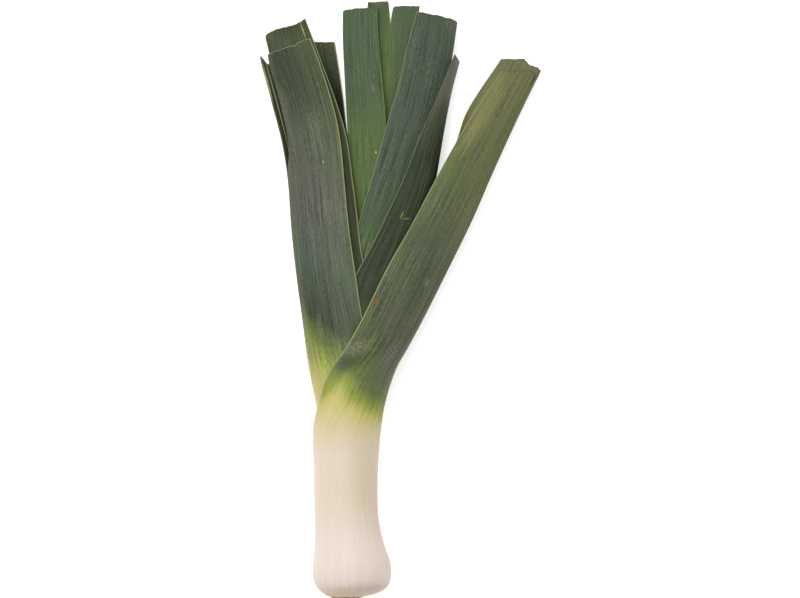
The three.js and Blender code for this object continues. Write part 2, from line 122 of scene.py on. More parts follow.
# For each leaf: its ring (0 is outermost), its side (1 folds to the right), the y of its
# mouth, the y of its trimmed end at places from -1, the free edge of the upper half, through
# 0, the keel, to 1, the free edge of the lower half, and its sections: y, keel x, upper edge
# x, lower edge x, keel z, top z, bottom z. wraps, on the narrow leaf only: y and the angle that
# each half wraps round the shank.
LEAVES = {
    "leaf_1_outermost": {
        "ring": 0,
        "side": 1,
        "mouth": 94.8,
        "ends": [
            (-1, 316.8), (-0.5, 316.6), (-0.31, 315.6), (-0.29, 311.2), (-0.25, 307),
            (-0.2, 310.4), (-0.1, 313), (0, 314.6), (0.06, 316.6), (0.3, 318.8), (0.5, 320.4),
            (0.66, 323.8), (1, 324.4),
        ],
        "sections": [
            (103.8, 20.2, -20.8, -20.6, 23.7, 43.8, 2.7),
            (112.8, 21.5, -18.8, -18.2, 23.5, 43.5, 2),
            (120.6, 23.3, -16.4, -15, 23.2, 43, 1.6),
            (129.6, 26, -13.7, -11.4, 22.9, 42.2, 1.1),
            (139.8, 30.1, -8.6, -6, 22.5, 40.8, 0.7),
            (149.4, 35.7, -1.8, 1.2, 22, 39.6, 0.4),
            (168, 45.6, 8.8, 10.8, 21, 37, 0.1),
            (198, 60.6, 23.5, 24.6, 18.6, 30.5, 0),
            (226.2, 74.4, 39.4, 40.2, 15.6, 25.8, 0),
            (250.8, 85.1, 52.3, 52.8, 13, 21.4, 0),
            (272.4, 94.8, 64.2, 64.2, 10.8, 17.8, 0),
            (292.8, 104.3, 76.5, 71.6, 9, 14.6, 0),
            (323.4, 119.4, 97.2, 91.5, 7, 11, 0),
        ],
    },
    "leaf_2": {
        "ring": 1,
        "side": -1,
        "mouth": 106.8,
        "ends": [
            (-1, 336), (-0.9, 335), (-0.87, 333.6), (-0.84, 334), (-0.78, 331.4), (-0.73, 331.2),
            (-0.38, 327), (0, 325.6), (0.14, 324.2), (0.27, 320.6), (0.5, 322.5), (1, 328.8),
        ],
        "split": [(247, 0), (267, 0.265), (286, 0.33), (304.8, 0.35), (318.6, 0.335), (336, 0.37)],
        "sections": [
            (118.8, -19.7, 17.4, 17.1, 23.4, 40, 5.2),
            (130.8, -22.2, 16.2, 15.6, 23, 38.9, 4.4),
            (142.8, -24.3, 14.1, 13.2, 22.4, 37.9, 3.8),
            (154.8, -25.9, 11.4, 10.2, 21.5, 36.6, 3.2),
            (168.6, -27.7, 8.5, 7.2, 20.2, 34.9, 2.6),
            (195.6, -31.3, 4.4, 3, 17.8, 31.8, 1.5),
            (220.2, -34, 0.8, -0.6, 15.4, 28.4, 0.8),
            (250.8, -36.3, -2.2, -3.6, 12.6, 25.4, 0.3),
            (273, -39.8, -4.4, -6, 10.6, 22.4, 0),
            (292.8, -44.8, -8.2, -9.6, 9.2, 19.2, 0),
            (319.2, -51.9, -16.4, -18, 7.8, 15.8, 0),
            (336, -55.2, -22.8, -24, 7, 14, 0),
        ],
    },
    "leaf_3": {
        "ring": 2,
        "side": 1,
        "mouth": 121.8,
        "ends": [(-1, 326.4), (-0.5, 323.4), (0, 321.3), (0.5, 319.8), (1, 318)],
        "sections": [
            (133.8, 18.6, -13.5, -13.2, 23, 36.9, 8),
            (148.8, 21.9, -11.4, -10.2, 22.4, 35.2, 6.8),
            (160.8, 25.5, -8.4, -7.2, 21.8, 33.9, 5.8),
            (175.8, 30.9, -3.3, -1.2, 20.8, 32.1, 5),
            (195.6, 37.5, 5.6, 6.6, 19.2, 29.8, 4),
            (211.8, 42.3, 14.3, 14.4, 18, 28.2, 3.6),
            (229.2, 47.7, 22.8, 21.6, 16.8, 27.4, 3.4),
            (250.8, 52.8, 33, 30.6, 14.6, 26.4, 3.4),
            (277.8, 57.4, 43.5, 39.6, 12, 25, 3.4),
            (304.8, 62.6, 55.2, 48, 10.6, 22.6, 3.4),
            (326.4, 68.4, 63.9, 52.8, 9.6, 20, 3.4),
        ],
    },
    "leaf_4": {
        "ring": 3,
        "side": -1,
        "mouth": 136.8,
        "ends": [(-1, 348), (-0.8, 344.2), (-0.46, 341.4), (0, 336.8), (0.3, 335), (1, 334.2)],
        "sections": [
            (148.8, -13.5, 14.7, 14.7, 22.3, 33.3, 9.6),
            (160.8, -16.5, 13.8, 13.8, 21.6, 32, 8.3),
            (175.8, -20.4, 12.3, 13.2, 20.2, 30.2, 6.9),
            (193.8, -24.3, 10.7, 12.6, 18.9, 28.3, 5.7),
            (210, -27.2, 7.8, 11.4, 17.6, 26.9, 5),
            (229.2, -29.4, 5.6, 9.6, 15.8, 25.4, 4.2),
            (250.8, -32.1, 2.8, 6.3, 13.8, 23, 3.2),
            (277.2, -36.3, -1, -0.1, 11.6, 19.6, 2.4),
            (300, -40.8, -7.8, -2.9, 10, 15.6, 2.2),
            (322.8, -46.5, -16.2, -6.2, 8.8, 12.8, 2.2),
            (346.8, -52.2, -25.2, -10.2, 7.8, 11.6, 2.2),
        ],
    },
    "leaf_5": {
        "ring": 4,
        "side": 1,
        "mouth": 151.8,
        "ends": [(-1, 352), (-0.66, 349.8), (-0.27, 347.2), (0, 345.3), (0.5, 343.8), (1, 343.2)],
        "sections": [
            (160.8, 12.6, -5.4, -5.1, 22, 30.5, 13.1),
            (172.8, 15.3, -3.9, -3.3, 21.2, 28.8, 12),
            (184.8, 18.9, -2.1, -1.2, 20.4, 27.4, 11.2),
            (208.8, 26.4, 2.4, 3.6, 19.2, 25.2, 10),
            (231, 35.4, 8.1, 9.6, 18.2, 24.4, 9.6),
            (253.8, 44.4, 14.7, 16.8, 17.2, 23.8, 9.4),
            (286.8, 55.2, 24, 26.4, 15.8, 22.8, 9),
            (312, 60.6, 31.2, 33.6, 14.8, 22.2, 8.6),
            (328.8, 63.3, 35, 37.2, 14.2, 21.6, 8.2),
            (351.6, 66.6, 41, 43.2, 13.4, 20.8, 8),
        ],
    },
    "leaf_6": {
        "ring": 5,
        "side": -1,
        "mouth": 166.8,
        "ends": [(-1, 354.6), (-0.6, 354), (0, 352.2), (0.5, 350.4), (1, 349.2)],
        "wraps": [(178.8, 145), (190.8, 122), (214.8, 107), (229.8, 99), (250.8, 94), (282.6, 90)],
        "sections": [
            (178.8, -1.2, 12.2, 12, 21.2, 26, 15.8),
            (190.8, 0.2, 13.8, 13.2, 20.4, 24.2, 14.9),
            (214.8, 1.8, 17.4, 16.2, 18.8, 22.6, 13.6),
            (229.8, 1.9, 19.2, 18, 18.1, 22.3, 13.2),
            (250.8, 1.2, 21.3, 19.8, 17.4, 21.8, 12.9),
            (282.6, -0.5, 22.8, 21, 16.4, 21, 12.5),
            (312, -2.1, 20.3, 18.6, 15.4, 20.3, 12),
            (336, -3.2, 18.2, 16.8, 14.6, 19.6, 11.4),
            (354.6, -3.2, 17.4, 16.2, 14, 19, 11),
        ],
    },
}

HEART_MOUTH = 184.8
HEART_ENDS = [
    (-1, 357.7), (-0.16, 358.4), (-0.1, 357.2), (0, 345), (0.07, 354.3), (0.13, 355.2), (1, 355.5),
]
heart_left_x = guide([(184.8, 3), (214.8, 6), (250.8, 8.1), (282.6, 9.6), (312, 10.8), (354.6, 11.7)])
heart_right_x = guide([(184.8, 8.5), (214.8, 19.8), (250.8, 27), (282.6, 34.2), (312, 38.1), (354.6, 43)])
heart_fold_x = guide([(184.8, 5.5), (214.8, 12), (250.8, 17.7), (282.6, 21.9), (312, 24), (354.6, 25.8)])
heart_fold_z = guide([(185, 19.2), (209, 16.2), (245, 15.2), (283, 14.9), (320, 14.4), (356, 13.8)])
heart_left_z = guide([(185, 20), (209, 17.8), (245, 17.2), (283, 16.6), (320, 16), (356, 15.4)])
heart_right_z = guide([(185, 20), (209, 17.8), (245, 18), (283, 18.3), (320, 18), (356, 17.2)])


def bulb_row(row, ring):
    """y and radius of one row of the bulb, for the leaf at that ring."""
    inward = ring / LEAF_RINGS
    y = skin_y(row) * (1 - inward) + heart_y(row) * inward
    radius = skin_radius(row) * (1 - inward) + heart_bulb_radius(row) * inward
    return y, radius


def sheath_radius(ring, y):
    return heart_radius(y) + ring_step(y) * (LEAF_RINGS - ring)


def tube_points(side, radius, y, across):
    turn = np.pi * np.abs(across)
    half = np.where(across <= 0, 1, -1)
    x = shank_x(y) + side * radius * np.cos(turn)
    z = shank_z(y) + half * radius * np.sin(turn)
    return np.stack([x, y + 0 * x, z], -1)


def blade_guides(leaf):
    """The guide lines of a leaf above its mouth, starting where its tube ends."""
    mouth = leaf["mouth"]
    radius = float(sheath_radius(leaf["ring"], mouth))
    x, z = float(shank_x(mouth)), float(shank_z(mouth))
    opposite = x - leaf["side"] * radius
    start = (mouth, x + leaf["side"] * radius, opposite, opposite, z, z + radius, z - radius)
    rows = [start, *leaf["sections"]]
    lines = [guide([(row[0], row[k]) for row in rows]) for k in range(1, 7)]
    wraps = leaf.get("wraps")
    return lines, wraps and guide([(mouth, 180), *wraps])


def blade_points(leaf, guides, y, across, inner):
    lines, wraps = guides
    keel_x, upper_x, lower_x, keel_z, top_z, bottom_z = (line(y) for line in lines)
    # Each half wraps round the shank for as long as its edge is past the middle of it.
    wrap = np.arccos(np.clip(1 - (upper_x - keel_x) / (shank_x(y) - keel_x), -1, 0))
    if wraps:
        wrap = np.radians(np.clip(wraps(y), 90, 180))
    upper = across <= 0
    side = leaf["side"]
    opened = smoothstep(leaf["mouth"], leaf["mouth"] + OPENING_LENGTH, y)
    edge_x = np.where(upper, upper_x, lower_x)
    height = np.where(upper, top_z - keel_z, keel_z - bottom_z)
    if inner:
        in_sheath = ring_step(y) * leaf_share(y) * (1 - opened)
        in_blade = blade_thickness(y) * opened
        taper = 1 - 0.62 * smoothstep(0.72, 1, np.abs(across)) * opened
        keel_x = keel_x - side * (in_sheath + in_blade)
        edge_x = edge_x + side * (in_sheath + in_blade * taper) * (1 - opened)
        height = height - (in_sheath + in_blade * taper)
    reach = (edge_x - keel_x) / (1 - np.cos(wrap))
    turn = wrap * np.abs(across)
    x = keel_x + reach * (1 - np.cos(turn))
    rise = height * np.sin(turn) ** (1 + keel_sharpness(y) * opened)
    return np.stack([x, y, keel_z + np.where(upper, rise, -rise)], -1)


def heart_points(y, across, top):
    side = 1 if top else -1
    turn = np.pi * (1 + across) / 2
    opened = smoothstep(HEART_MOUTH, HEART_MOUTH + OPENING_LENGTH, y)
    widened = smoothstep(HEART_MOUTH, HEART_MOUTH + 12, y)
    radius = heart_radius(y)
    left = (shank_x(y) - radius) * (1 - widened) + heart_left_x(y) * widened
    right = (shank_x(y) + radius) * (1 - widened) + heart_right_x(y) * widened
    fold = (left + right) / 2 * (1 - opened) + heart_fold_x(y) * opened
    reach = -np.cos(turn) * (1 - opened) + across * opened
    x = fold + np.where(reach > 0, right - fold, fold - left) * reach
    edge_z = np.where(across < 0, heart_left_z(y), heart_right_z(y))
    trough = heart_fold_z(y) + (edge_z - heart_fold_z(y)) * np.abs(across) ** 1.4
    thickness = (blade_thickness(y) * (1 - np.abs(across) ** 3) + 0.25) * (1 if top else 0)
    round_z = shank_z(y) + side * radius * np.sin(turn)
    return np.stack([x, y, round_z * (1 - opened) + (trough + thickness) * opened], -1)


# ---- finishes -------------------------------------------------------------------------------


def linear(colour):
    """sRGB hex to linear red, green, blue and alpha."""
    parts = [int(colour[i : i + 2], 16) / 255 for i in (1, 3, 5)]
    return (*[p / 12.92 if p <= 0.04045 else ((p + 0.055) / 1.055) ** 2.4 for p in parts], 1.0)


def add_node(tree, kind, inputs=None, out=0, stops=None, **settings):
    """Adds a node with its settings, ramp stops, values and links, and gives one output."""
    made = tree.nodes.new("ShaderNode" + kind)
    for setting, value in settings.items():
        setattr(made, setting, value)
    if stops:
        ramp = made.color_ramp.elements
        while len(ramp) < len(stops):
            ramp.new(1.0)
        for element, (place, colour) in zip(ramp, stops):
            element.position = place
            element.color = linear(colour) if isinstance(colour, str) else colour
    for socket, value in (inputs or {}).items():
        if isinstance(value, bpy.types.NodeSocket):
            tree.links.new(value, made.inputs[socket])
        else:
            made.inputs[socket].default_value = linear(value) if isinstance(value, str) else value
    return made if out is None or not made.outputs else made.outputs[out]


def new_material(name):
    material = bpy.data.materials.new(name)
    material.use_nodes = True
    material.node_tree.nodes.clear()
    return material, material.node_tree


# The colours of a leek, from its root end to its cut ends. DEEP_GREEN on leaf_4 and BOTTLE_GREEN at y 170
# on leaf_2 are partly painted shade.
ROOT_TAN = "#d0b49a"
WHITE = "#e8dad0"
CREAM = "#e4d5c2"
STRAW = "#d3c598"
LEMON = "#c8c070"
LIME = "#949f44"
FRESH_GREEN = "#647538"
SPRING_GREEN = "#566b38"
SAGE_GREEN = "#4a5c42"
OLIVE = "#606a40"
MOSS = "#6e6f48"
GREY_GREEN = "#4e5640"
BLUE_GREEN = "#4a5646"
# At y 170 on leaf_2 this is painted shade under the outermost leaf's edge.
BOTTLE_GREEN = "#343f28"
# On leaf_4 this is partly painted shade: its green darkened for the gap under leaf_2.
DEEP_GREEN = "#262c1a"
WAX_GREY = "#66665c"
ASH = "#6e6c5e"
DUSK = "#585a50"
SCUFF = "#a0957e"
DRY_LINE = "#b2b482"
DRY_BROWN = "#3a3118"
RUST = "#8a4a36"

# The finish of each leaf. along: colours up the outer skin, by y. inner: up the inner face.
# start: mm that the green starts below its middle height (above, if less than 0), from keel to free
# edge. keel and flank: colour, width in mm and strength of the bands along the fold and the free edge.
# other: tint of the lower half. streak and bloom: long stripes and wax patches. free and cut: the
# dry lines along the free edge and the cut end. gloss: how much the skin shines. marks: scuffs,
# spots and tinted bands, one of them partly painted shade, with mm from the keel, y, half width,
# half length, colour, strength, and whether they are broken up.
FINISHES = {
    "leaf_1_outermost": {
        "along": [
            (0, ROOT_TAN), (8, WHITE), (36, WHITE), (60, CREAM), (86, CREAM), (104, STRAW),
            (112, LEMON), (118, LIME), (126, FRESH_GREEN), (148, GREY_GREEN), (205, GREY_GREEN),
            (250, OLIVE), (322, MOSS),
        ],
        "inner": [(100, STRAW), (140, FRESH_GREEN), (230, OLIVE), (322, MOSS)],
        "start": [(0, 8), (0.4, 3), (0.6, -3), (0.78, -12), (1, -6)],
        "keel": (OLIVE, 14.0, 0.5), "flank": (FRESH_GREEN, 8.0, 0.4),
        "other": (MOSS, 0.3),
        "streak": (MOSS, 0.25), "bloom": (WAX_GREY, 0.3),
        "free": (DRY_LINE, 1.0), "cut": (DRY_BROWN, 0.8),
        "gloss": 0.3, "veins": 0.34, "specks": 0.4,
        "marks": [
            (8, 4, 18, 7, ROOT_TAN, 0.5, False),
            # Tan band up the keel side of the shank: partly its warm tint, partly painted shade on the side
            # away from the light.
            (0, 60, 12, 60, ROOT_TAN, 0.4, False),
            (12, 76, 6, 36, STRAW, 0.4, False),
            (14, 137, 8, 20, WAX_GREY, 0.4, False),
            (30, 143, 7, 9, BOTTLE_GREEN, 0.6, False),
            (34.5, 129, 3.5, 10, LIME, 0.5, False),
            (3.5, 140, 0.9, 20, SCUFF, 0.4, False),
            (31.5, 149.5, 4.2, 6.5, SCUFF, 0.6, True),
            (15, 147, 6, 11, SCUFF, 0.4, True),
            (23, 129, 2.5, 4, SCUFF, 0.35, True),
            (34, 178, 1.2, 3, RUST, 0.6, False),
            (16, 189, 1.5, 3.5, SCUFF, 0.3, False),
            (10, 230, 8, 22, SCUFF, 0.4, True),
            (34, 284, 1.7, 10, RUST, 0.6, True),
            (30, 292, 6, 30, LEMON, 0.15, False),
        ],
        "seed": 3.0,
    },
    "leaf_2": {
        # Its bottle green at y 170 is painted shade where it comes out from under the outermost leaf.
        "along": [
            (100, STRAW), (128, LEMON), (146, LIME), (157, FRESH_GREEN), (170, BOTTLE_GREEN),
            (205, BLUE_GREEN), (245, DUSK), (285, GREY_GREEN), (312, BOTTLE_GREEN),
        ],
        "inner": [(110, STRAW), (150, LIME), (200, DEEP_GREEN), (290, BOTTLE_GREEN), (336, GREY_GREEN)],
        "start": [(0, -12), (0.2, -7), (0.45, 4), (1, 14)],
        "keel": (MOSS, 14.0, 0.5), "flank": (FRESH_GREEN, 12.0, 0.25),
        "other": (BOTTLE_GREEN, 0.6),
        "streak": (WAX_GREY, 0.22), "bloom": (WAX_GREY, 0.25),
        "free": (DRY_LINE, 0.8), "cut": (DRY_LINE, 0.8),
        "gloss": 0.3, "veins": 0.34, "specks": 0.5,
        "marks": [
            (0, 309, 4, 13, DRY_LINE, 0.6, False),
            (8, 297, 0.7, 46, DRY_LINE, 0.9, False),
            (28, 261.6, 0.5, 0.8, DRY_LINE, 0.8, False),
            (17, 163, 2.6, 9, SCUFF, 0.5, True),
            (27.6, 287, 5, 9, SCUFF, 0.2, True),
            (14, 300, 5, 12, SCUFF, 0.3, True),
        ],
        "seed": 11.0,
    },
    "leaf_3": {
        "along": [
            (115, STRAW), (150, FRESH_GREEN), (180, BOTTLE_GREEN), (265, BOTTLE_GREEN),
            (290, GREY_GREEN), (305, ASH),
        ],
        "inner": [(130, STRAW), (170, FRESH_GREEN), (326, BOTTLE_GREEN)],
        "start": [(0, 0), (1, 0)],
        "keel": (GREY_GREEN, 6.0, 0.4), "flank": (DEEP_GREEN, 6.0, 0.4),
        "other": (GREY_GREEN, 0.3),
        "streak": (WAX_GREY, 0.2), "bloom": (WAX_GREY, 0.15),
        "free": (DRY_LINE, 0.7), "cut": (DRY_LINE, 0.3),
        "gloss": 0.25, "veins": 0.3, "specks": 0.2,
        "marks": [
            (27.2, 229.8, 0.5, 3.0, "#b3a34c", 0.8, False),
            (23.6, 227.6, 3.2, 0.5, "#a39450", 0.7, False),
        ],
        "seed": 23.0,
    },
    "leaf_4": {
        # The deep green stretches of both faces are partly painted shade: the leaf's green darkened for the
        # gap under leaf_2.
        "along": [
            (130, STRAW), (165, FRESH_GREEN), (200, BOTTLE_GREEN), (240, DEEP_GREEN),
            (308, DEEP_GREEN), (332, GREY_GREEN), (348, BOTTLE_GREEN),
        ],
        "inner": [(150, LIME), (220, DEEP_GREEN), (300, DEEP_GREEN), (335, GREY_GREEN)],
        "start": [(0, 0), (1, 0)],
        "keel": (SAGE_GREEN, 6.0, 0.4), "flank": (OLIVE, 8.0, 0.2),
        "other": (BOTTLE_GREEN, 0.3),
        "streak": (BOTTLE_GREEN, 0.2), "bloom": (WAX_GREY, 0.1),
        "free": (DRY_LINE, 0.8), "cut": (DRY_LINE, 0.3),
        "gloss": 0.12, "veins": 0.25, "specks": 0.2,
        "marks": [(32.6, 341, 0.5, 6, DRY_LINE, 0.8, False)],
        "seed": 31.0,
    },
    "leaf_5": {
        "along": [
            (145, STRAW), (180, LIME), (205, SPRING_GREEN), (240, SAGE_GREEN), (285, BLUE_GREEN),
            (350, BLUE_GREEN),
        ],
        "inner": [(160, STRAW), (200, FRESH_GREEN), (350, SAGE_GREEN)],
        "start": [(0, -4), (0.5, 0), (1, 8)],
        "keel": (OLIVE, 3.0, 0.5), "flank": (BOTTLE_GREEN, 6.0, 0.3),
        "other": (SAGE_GREEN, 0.3),
        "streak": (SAGE_GREEN, 0.3), "bloom": (WAX_GREY, 0.2),
        "free": (DRY_LINE, 0.5), "cut": (DRY_LINE, 0.3),
        "gloss": 0.3, "veins": 0.44, "specks": 0.2,
        "marks": [(10, 346, 10, 12, ASH, 0.4, False)],
        "seed": 41.0,
    },
    "leaf_6": {
        "along": [
            (160, STRAW), (195, LIME), (220, SPRING_GREEN), (275, SPRING_GREEN), (310, SAGE_GREEN),
            (355, SAGE_GREEN),
        ],
        "inner": [(175, STRAW), (215, LIME), (250, FRESH_GREEN), (355, SAGE_GREEN)],
        "start": [(0, 0), (0.5, 6), (1, 0)],
        "keel": (OLIVE, 6.0, 0.4), "flank": (SPRING_GREEN, 8.0, 0.3),
        "other": (OLIVE, 0.3),
        "streak": (SPRING_GREEN, 0.3), "bloom": (BLUE_GREEN, 0.3),
        "free": (LIME, 0.4), "cut": (OLIVE, 0.4),
        "gloss": 0.25, "veins": 0.36, "specks": 0.2,
        "marks": [
            (27.5, 262, 5, 34, SPRING_GREEN, 0.5, False),
            (30, 306, 1.2, 4.5, SCUFF, 0.5, True),
            (30, 267.5, 0.6, 0.8, WHITE, 0.9, False),
        ],
        "seed": 53.0,
    },
    "leaf_7_heart": {
        "along": [(185, LIME), (230, FRESH_GREEN), (300, SPRING_GREEN), (358, SAGE_GREEN)],
        "inner": [(185, LIME), (240, FRESH_GREEN), (358, SAGE_GREEN)],
        "start": [(0, -6), (1, 0)],
        "keel": (FRESH_GREEN, 10.0, 0.4), "flank": (SAGE_GREEN, 8.0, 0.2),
        "other": (SAGE_GREEN, 0.5),
        "streak": (FRESH_GREEN, 0.25), "bloom": (BLUE_GREEN, 0.1),
        "free": (LIME, 0.5), "cut": (OLIVE, 0.4),
        "gloss": 0.3, "veins": 0.34, "specks": 0.1,
        "marks": [(20, 360, 14, 5, LIME, 0.3, False)],
        "seed": 61.0,
    },
}


def leek_leaf(name, finish):
    """Fresh leek leaf, grown: fleshy and white low down, then a green skin under a thin wax
    bloom, striped lengthwise by its veins, with a pale dry line along every edge."""
    material, tree = new_material(name)

    def node(kind, inputs=None, out=0, **settings):
        return add_node(tree, kind, inputs, out, **settings)

    # Where a point is on the flattened leaf: mm from the keel, either half, and mm up it.
    flat = node("VectorMath", {0: node("UVMap", uv_map="Leaf")}, operation="ABSOLUTE")
    across = node("SeparateXYZ", {0: flat})
    ripe, inner, other, to_end = (
        node("Attribute", out="Fac", attribute_name=layer) for layer in ("ripe", "inner", "other", "to_end")
    )

    def grain(spacing, length, detail, place):
        # Fibres drawn out along the leaf: spacing across it and length along it, in mm.
        start = (finish["seed"] + place, place, 0)
        scale = (1 / spacing, 1 / length, 1)
        stretched = node("Mapping", {"Vector": flat, "Location": start, "Scale": scale})
        settings = {"Vector": stretched, "Scale": 1.0, "Detail": detail}
        return node("TexNoise", settings, noise_dimensions="2D")

    def tinted(below, tint, part, *masks):
        # The colour below with a tint over part of it, less where a mask is less than 1.
        for mask in masks:
            part = node("Math", {0: part, 1: mask}, operation="MULTIPLY")
        return node("Mix", {0: part, 6: below, 7: tint}, 2, data_type="RGBA")

    vein = grain(0.55, 32, 3.0, 0)
    rib = grain(2.4, 120, 2.0, 5)
    cloud = grain(4.5, 22, 4.0, 9)
    fleck = grain(0.6, 2.6, 3.0, 13)
    patch = grain(7.0, 30, 2.0, 21)

    # White to green, starting a little higher or lower on each fibre.
    height = node("Math", {0: grain(1.3, 24, 2.0, 17), 1: 0.016, 2: ripe}, operation="MULTIPLY_ADD")
    skin, inside = (
        node("ValToRGB", {0: height}, stops=[(y / LENGTH, hue) for y, hue in finish[face]])
        for face in ("along", "inner")
    )
    green = node("MapRange", {0: height, 1: GREEN_FROM / LENGTH, 2: GREEN_TO / LENGTH})

    # The lower half, the fold and the free edge each have their own tint.
    tint, amount = finish["other"]
    skin = tinted(skin, tint, other, amount, green)
    # Above those are long stripes between the veins, and patches of wax bloom.
    layers = (
        ("keel", across, finish["keel"][1], 0.0),
        ("flank", across, MAP_HALF_WIDTH - finish["flank"][1], MAP_HALF_WIDTH),
        ("streak", rib, 0.5, 0.68),
        ("bloom", cloud, 0.42, 0.7),
    )
    for key, pattern, low, high in layers:
        tint, amount = finish[key][0], finish[key][-1]
        part = node("MapRange", {0: pattern, 1: low, 2: high, 3: 0.0, 4: amount})
        skin = tinted(skin, tint, part, green)
    # The white has wide, faint bands of a warmer and a yellower white, clearest round the base.
    white = node("MapRange", {0: height, 1: 100 / LENGTH, 2: 70 / LENGTH, 3: 0.0, 4: 0.08})
    base = node("MapRange", {0: height, 1: 13 / LENGTH, 2: 2 / LENGTH, 3: 0.0, 4: 0.32})
    white = node("Math", {0: white, 1: base}, operation="ADD")
    for pattern, tint in ((grain(1.3, 60, 3.0, 31), "#cba58c"), (grain(3.6, 90, 1.0, 37), "#d9cda4")):
        skin = tinted(skin, tint, node("MapRange", {0: pattern, 1: 0.42, 2: 0.72}), white)
    inside_only = node("Math", {0: inner, 1: 0.5}, operation="GREATER_THAN")
    colour = tinted(skin, inside, inside_only)

    # Veins: fine darker and lighter lines, strong in the green and faint in the white.
    line = node("MapRange", {0: vein, 1: 0.3, 2: 0.7, 3: -1.0, 4: 1.0})
    broad = node("MapRange", {0: rib, 1: 0.3, 2: 0.7, 3: -0.25, 4: 0.25})
    small = node("MapRange", {0: fleck, 1: 0.3, 2: 0.7, 3: -0.55, 4: 0.55})
    lines = node("Math", {0: line, 1: broad}, operation="ADD")
    lines = node("Math", {0: lines, 1: small}, operation="ADD")
    veins = finish["veins"]
    strength = node("MapRange", {0: patch, 1: 0.3, 2: 0.7, 3: 0.35 * veins, 4: 1.5 * veins})
    strength = node("Math", {0: strength, 1: green}, operation="MULTIPLY")
    strength = node("Math", {0: strength, 1: 0.022}, operation="MAXIMUM")
    lines = node("Math", {0: lines, 1: strength, 2: 1.0}, operation="MULTIPLY_ADD")
    colour = node("VectorMath", {0: colour, "Scale": lines}, operation="SCALE")

    # Scuffs, spots and tinted bands. The tan band up the keel side of the outermost leaf's shank is partly
    # a warm tint and partly painted shade.
    broken = node("MapRange", {0: grain(0.5, 1.2, 3.0, 27), 1: 0.5, 2: 0.58})
    for place, up, half_width, half_length, tint, amount, is_broken in finish["marks"]:
        start = (-place / half_width, -up / half_length, 0)
        scale = (1 / half_width, 1 / half_length, 1)
        near = node("Mapping", {"Vector": flat, "Location": start, "Scale": scale})
        away = node("VectorMath", {0: near}, "Value", operation="LENGTH")
        part = node("MapRange", {0: away, 1: 1.0, 2: 0.35, 3: 0.0, 4: amount})
        colour = tinted(colour, tint, part, *([broken] if is_broken else []))

    # Tiny pale specks of grit and dried wax, about one on every third square of 3 mm.
    cells = node("TexVoronoi", {"Vector": flat, "Scale": 0.33}, None, voronoi_dimensions="2D")
    chance = node("SeparateColor", {0: cells.outputs["Color"]})
    reach = node("MapRange", {0: chance, 1: 0.82, 2: 1.0, 3: 0.0, 4: 0.075})
    speck = node("Math", {0: cells.outputs["Distance"], 1: reach}, operation="LESS_THAN")
    colour = tinted(colour, "#a3a890", speck, finish["specks"], green)

    # The dry lines of the free edge and of the cut: on the wall between the two faces, and on the
    # skin just beside it.
    wall = node("Math", {0: inner, 1: 0.5, 2: 0.49}, operation="COMPARE")
    from_edge = node("Math", {0: MAP_HALF_WIDTH, 1: across}, operation="SUBTRACT")
    dry_lines = (("cut", to_end, (0.5, 0.1), (1.0, 0.5)), ("free", from_edge, (0.55, 0.15), (3.0, 2.0)))
    for key, away, beside, on_wall in dry_lines:
        tint, amount = finish[key]
        line = node("MapRange", {0: away, 1: beside[0], 2: beside[1], 3: 0.0, 4: 0.7 * amount})
        on_wall = node("MapRange", {0: away, 1: on_wall[0], 2: on_wall[1], 3: 0.0, 4: 0.8 * amount})
        on_wall = node("Math", {0: wall, 1: on_wall}, operation="MULTIPLY")
        line = node("Math", {0: line, 1: on_wall}, operation="MAXIMUM")
        colour = tinted(colour, tint, line, green)

    relief = node("Math", {0: vein, 1: rib}, operation="ADD")
    depth = node("MapRange", {0: green, 1: 0.0, 2: 1.0, 3: 0.035, 4: 1.0})
    relief = node("Math", {0: relief, 1: depth}, operation="MULTIPLY")
    bump = node("Bump", {"Height": relief, "Strength": 0.6, "Distance": 0.00035})
    surface = node(
        "BsdfPrincipled",
        {
            "Base Color": colour,
            "Roughness": node("MapRange", {0: cloud, 1: 0.3, 2: 0.7, 3: 0.44, 4: 0.58}),
            "Normal": bump,
            "IOR": 1.4,
            "Specular IOR Level": finish["gloss"],
            "Subsurface Weight": 0.12,
            "Subsurface Radius": (0.7, 0.8, 0.35),
            "Subsurface Scale": 0.002,
        },
    )
    node("OutputMaterial", {0: surface})
    return material


